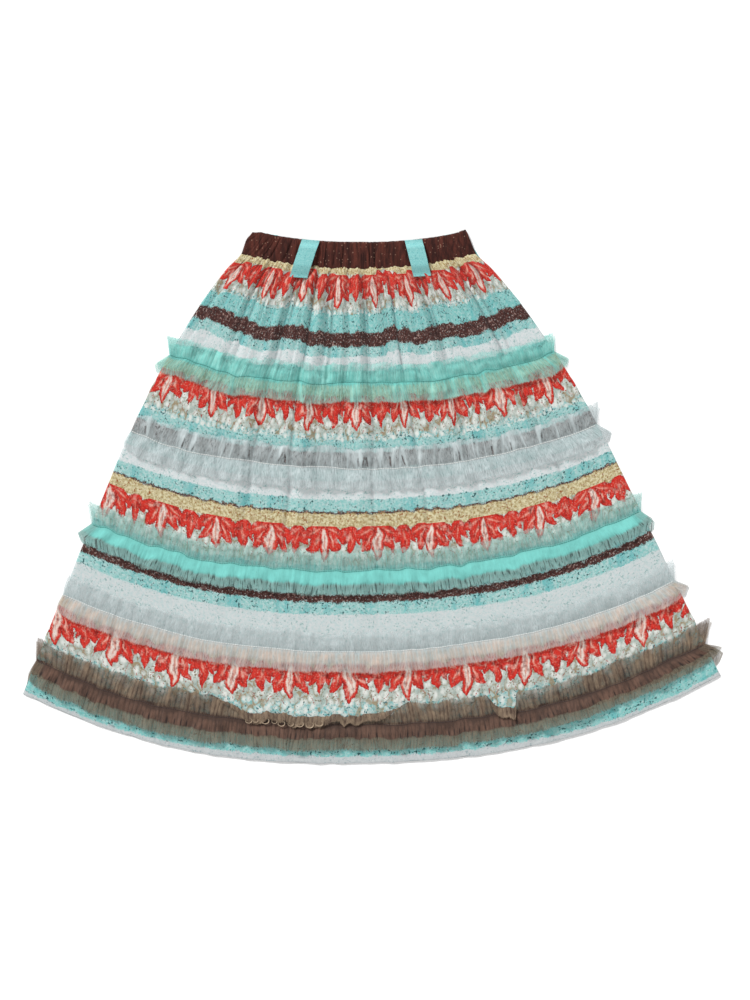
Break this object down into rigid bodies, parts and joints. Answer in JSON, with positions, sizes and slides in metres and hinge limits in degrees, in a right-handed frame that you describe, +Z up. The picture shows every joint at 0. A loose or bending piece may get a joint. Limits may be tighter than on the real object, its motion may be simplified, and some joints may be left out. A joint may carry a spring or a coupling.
{
  "type": "midi skirt",
  "caption": "Elastic-waist A-line midi skirt laid flat, with belt loops and net ruffles stitched round it in rows.",
  "frame": {"origin": "on the surface that the skirt lies on, under the middle of its outline seen from above", "axes": "+X to the right of someone who looks down at the front, along the skirt's width; +Y from the hem to the waist; +Z up off the surface"},
  "size_m": [1.016, 0.7714, 0.0211],
  "materials": {
    "print_cloth": "matt woven cloth printed in crosswise stripes of turquoise, white, brown, yellow and red",
    "band_cloth": "matt dark brown woven cloth with small light specks, gathered on elastic",
    "loop_cloth": "matt turquoise woven cloth, folded and topstitched",
    "net_turquoise": "soft turquoise net, see-through in a single layer",
    "net_ice": "soft ice-white net, see-through in a single layer",
    "net_brown": "soft brown net, see-through in a single layer"
  },
  "bodies": {
    "root": {"front_panel": "print_cloth", "back_panel": "print_cloth", "waistband_front": "band_cloth", "waistband_back": "band_cloth", "belt_loop_left": "loop_cloth", "belt_loop_right": "loop_cloth", "back_loop_left": "loop_cloth", "back_loop_right": "loop_cloth", "ruffle_1": "net_turquoise", "ruffle_2": "net_ice", "ruffle_3": "net_turquoise", "ruffle_4": "net_ice", "ruffle_5": "net_brown"}
  },
  "joints": []
}
